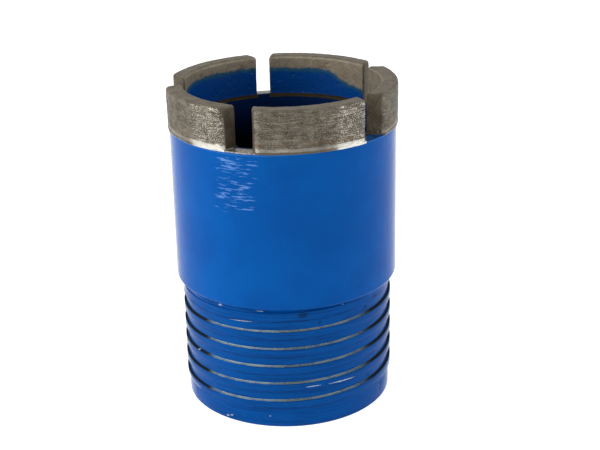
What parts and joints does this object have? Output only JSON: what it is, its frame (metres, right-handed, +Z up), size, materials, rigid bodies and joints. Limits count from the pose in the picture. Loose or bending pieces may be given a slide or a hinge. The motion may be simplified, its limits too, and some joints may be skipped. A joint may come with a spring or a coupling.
{
  "type": "diamond core bit",
  "caption": "Thin-walled diamond core bit: enamelled steel shell with a coarse male thread, and a brazed crown of sintered segments parted by waterways.",
  "frame": {"origin": "on the bit's axis, at the end face of the threaded pin, which the bit stands on", "axes": "+Z up the axis to the cutting crown; -Y is the front of the bit, +X its right"},
  "size_m": [0.0771, 0.0774, 0.1113],
  "materials": {
    "blue_enamel_steel": "glossy blue enamel on turned steel, worn to bare metal on the thread's crests",
    "sintered_diamond_matrix": "rough ground sintered metal with pits",
    "silver_braze": "dull silver braze with brown flux stain"
  },
  "bodies": {
    "root": {"steel_shell": "blue_enamel_steel", "crown_segment_1": "sintered_diamond_matrix", "crown_segment_2": "sintered_diamond_matrix", "crown_segment_3": "sintered_diamond_matrix", "crown_segment_4": "sintered_diamond_matrix", "crown_segment_5": "sintered_diamond_matrix", "braze_joint_1": "silver_braze", "braze_joint_2": "silver_braze", "braze_joint_3": "silver_braze", "braze_joint_4": "silver_braze", "braze_joint_5": "silver_braze"}
  },
  "joints": []
}
